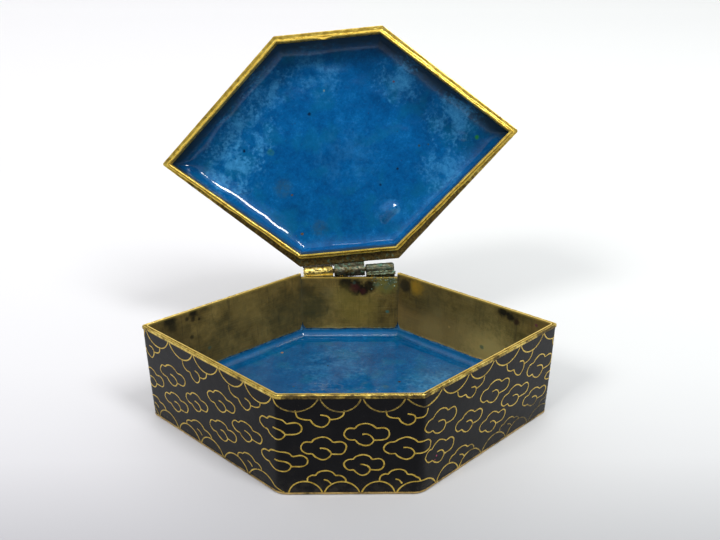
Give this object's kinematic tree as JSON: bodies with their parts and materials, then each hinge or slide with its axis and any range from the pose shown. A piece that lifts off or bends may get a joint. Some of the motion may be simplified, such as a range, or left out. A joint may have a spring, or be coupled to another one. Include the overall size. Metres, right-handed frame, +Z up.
{
  "type": "cloisonne enamel box",
  "caption": "Low six-sided enamelled metal box with a hinged lid standing open: black with gold wire clouds outside, blue inside, with brass rim, foot, lining and hinge.",
  "frame": {"origin": "middle of the footprint of the whole open box, on the surface that its foot wire stands on; the box's own base centre is 1.4 mm to +X and 14.1 mm to -Y of it", "axes": "+Z up, +X along the box's length to the right, +Y to the back, where the hinge is"},
  "size_m": [0.1028, 0.0928, 0.0891],
  "materials": {
    "black_enamel": "glossy glass enamel on copper, near black, with fired-in gold wires",
    "blue_enamel": "glossy mottled blue glass enamel on copper",
    "brass": "worn bright gilt brass, lightly pitted",
    "tarnished_brass": "dark olive-brown tarnish, dull",
    "verdigris_brass": "dark, corroded, with green verdigris"
  },
  "bodies": {
    "box": {"box_body": "black_enamel", "box_rim": "brass", "box_foot_wire": "brass", "box_lining": "tarnished_brass", "hinge_knuckle_left": "brass", "hinge_knuckle_right": "verdigris_brass", "hinge_pin": "verdigris_brass"},
    "lid": {"lid_body": "blue_enamel", "lid_band": "brass", "lid_collar": "brass", "hinge_knuckle_lid": "verdigris_brass"}
  },
  "joints": [
    {"name": "lid_hinge", "type": "hinge", "parent": "box", "child": "lid", "pos_m": [0.0014, 0.02022, 0.02451], "axis": [0.9981, 0.0289, 0.054], "range_deg": [0, 107.3]}
  ]
}
